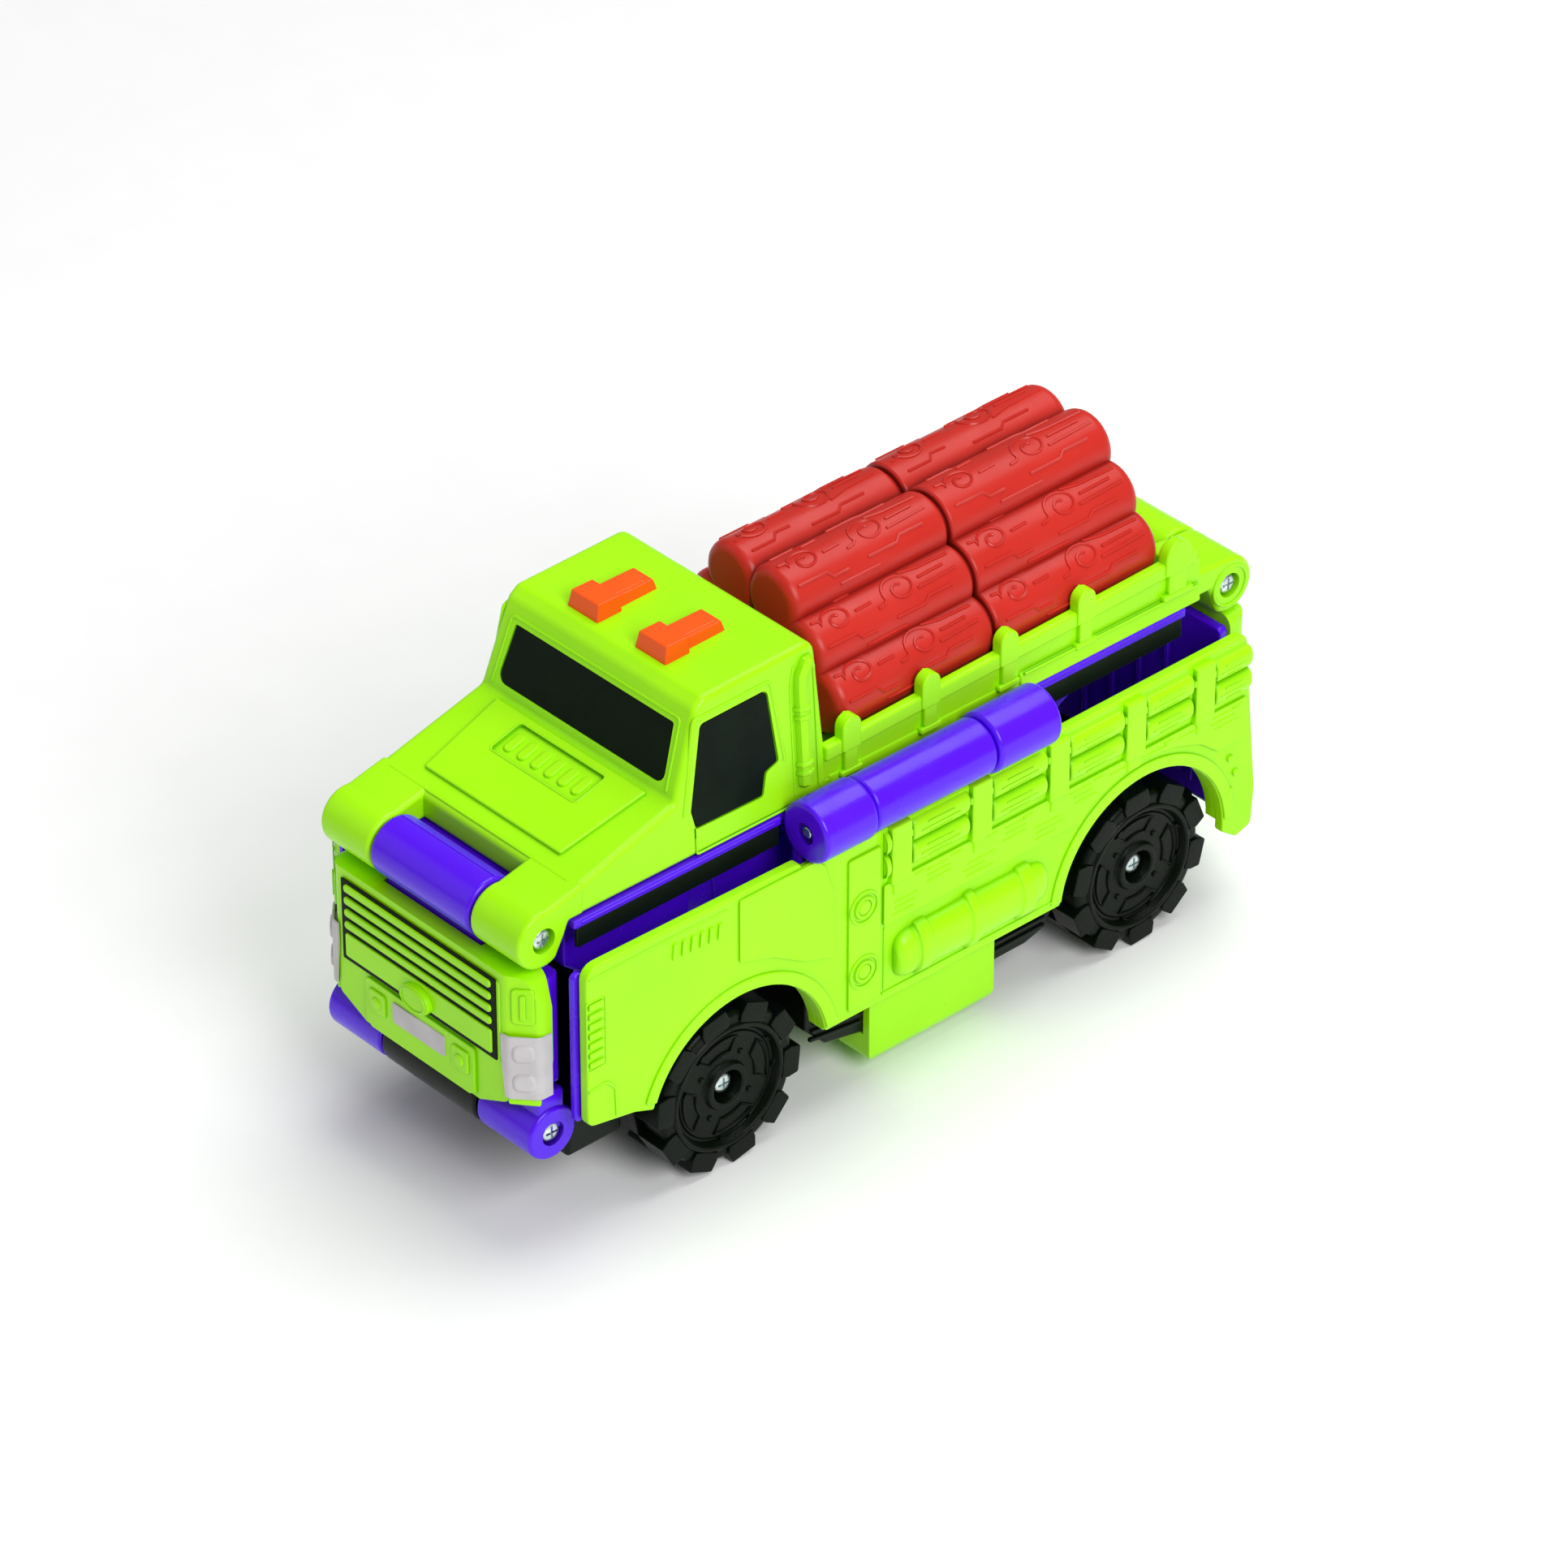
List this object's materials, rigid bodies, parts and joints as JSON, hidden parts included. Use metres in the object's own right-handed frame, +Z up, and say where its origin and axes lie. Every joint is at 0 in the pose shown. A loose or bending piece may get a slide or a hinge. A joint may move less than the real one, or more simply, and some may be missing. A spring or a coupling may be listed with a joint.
{
  "type": "transforming toy truck",
  "caption": "Hand-size toy log truck whose hinged body shell turns inside out around a wheeled chassis, with hinged front, top, rear and side panels and free-rolling wheels.",
  "frame": {"origin": "on the ground, under the middle of the truck's overall length and width", "axes": "+Z up, -Y towards the bonnet and grille, +Y towards the tail, +X towards the truck's left side"},
  "size_m": [0.0706, 0.1618, 0.0904],
  "materials": {
    "lime_plastic": "glossy moulded lime ABS",
    "purple_plastic": "glossy moulded purple ABS",
    "black_plastic": "satin black ABS",
    "black_wheel": "satin black moulded plastic with fine grain",
    "black_sticker": "printed near-black film",
    "pale_sticker": "printed light grey film",
    "orange_plastic": "glossy moulded orange ABS",
    "log_plastic": "semi-gloss moulded red plastic with raised bark lines",
    "zinc_screw": "zinc plated self-tapping screws and plain steel pins"
  },
  "bodies": {
    "chassis": {"chassis_frame": "black_plastic", "belly_block": "lime_plastic", "wheel_screw_front_left": "zinc_screw", "wheel_screw_front_right": "zinc_screw", "wheel_screw_rear_left": "zinc_screw", "wheel_screw_rear_right": "zinc_screw", "bumper_screw_left": "zinc_screw", "bumper_screw_right": "zinc_screw"},
    "wheel_front_left": {"wheel_front_left": "black_wheel"},
    "wheel_front_right": {"wheel_front_right": "black_wheel"},
    "wheel_rear_left": {"wheel_rear_left": "black_wheel"},
    "wheel_rear_right": {"wheel_rear_right": "black_wheel"},
    "front_panel": {"front_liner": "purple_plastic", "front_fascia": "lime_plastic", "grille_frame": "black_sticker", "badge_disc": "lime_plastic", "licence_plate": "pale_sticker", "headlamp_left": "pale_sticker", "headlamp_right": "pale_sticker", "hood_screw_left": "zinc_screw", "hood_screw_right": "zinc_screw"},
    "top_module": {"top_shell": "lime_plastic", "second_roof": "purple_plastic", "windscreen": "black_sticker", "side_window_left": "black_sticker", "side_window_right": "black_sticker", "roof_light_left": "orange_plastic", "roof_light_right": "orange_plastic", "log_load": "log_plastic"},
    "rear_panel": {"rear_liner": "purple_plastic", "rear_shell": "lime_plastic", "tail_screw_left": "zinc_screw", "tail_screw_right": "zinc_screw"},
    "side_panel_left": {"side_shell_left": "lime_plastic", "side_liner_left": "purple_plastic", "side_pin_left": "zinc_screw"},
    "side_panel_right": {"side_shell_right": "lime_plastic", "side_liner_right": "purple_plastic", "side_pin_right": "zinc_screw"}
  },
  "joints": [
    {"name": "bumper_hinge", "type": "hinge", "parent": "chassis", "child": "front_panel", "pos_m": [0, -0.07382, 0.0215], "axis": [1, 0, 0], "range_deg": [0, 150]},
    {"name": "hood_hinge", "type": "hinge", "parent": "front_panel", "child": "top_module", "pos_m": [0, -0.07422, 0.0585], "axis": [1, 0, 0], "range_deg": [0, 175]},
    {"name": "tail_hinge", "type": "hinge", "parent": "top_module", "child": "rear_panel", "pos_m": [0, 0.07578, 0.059], "axis": [1, 0, 0], "range_deg": [0, 180]},
    {"name": "side_hinge_left", "type": "hinge", "parent": "top_module", "child": "side_panel_left", "pos_m": [0.03, 0.00078, 0.0587], "axis": [0, -1, 0], "range_deg": [0, 180]},
    {"name": "side_hinge_right", "type": "hinge", "parent": "top_module", "child": "side_panel_right", "pos_m": [-0.03, 0.00078, 0.0587], "axis": [0, 1, 0], "range_deg": [0, 180]},
    {"name": "wheel_spin_front_left", "type": "hinge", "parent": "chassis", "child": "wheel_front_left", "pos_m": [0.02295, -0.03972, 0.0155], "axis": [1, 0, 0], "continuous": true},
    {"name": "wheel_spin_front_right", "type": "hinge", "parent": "chassis", "child": "wheel_front_right", "pos_m": [-0.02295, -0.03972, 0.0155], "axis": [1, 0, 0], "continuous": true},
    {"name": "wheel_spin_rear_left", "type": "hinge", "parent": "chassis", "child": "wheel_rear_left", "pos_m": [0.02295, 0.05198, 0.0155], "axis": [1, 0, 0], "continuous": true},
    {"name": "wheel_spin_rear_right", "type": "hinge", "parent": "chassis", "child": "wheel_rear_right", "pos_m": [-0.02295, 0.05198, 0.0155], "axis": [1, 0, 0], "continuous": true}
  ]
}
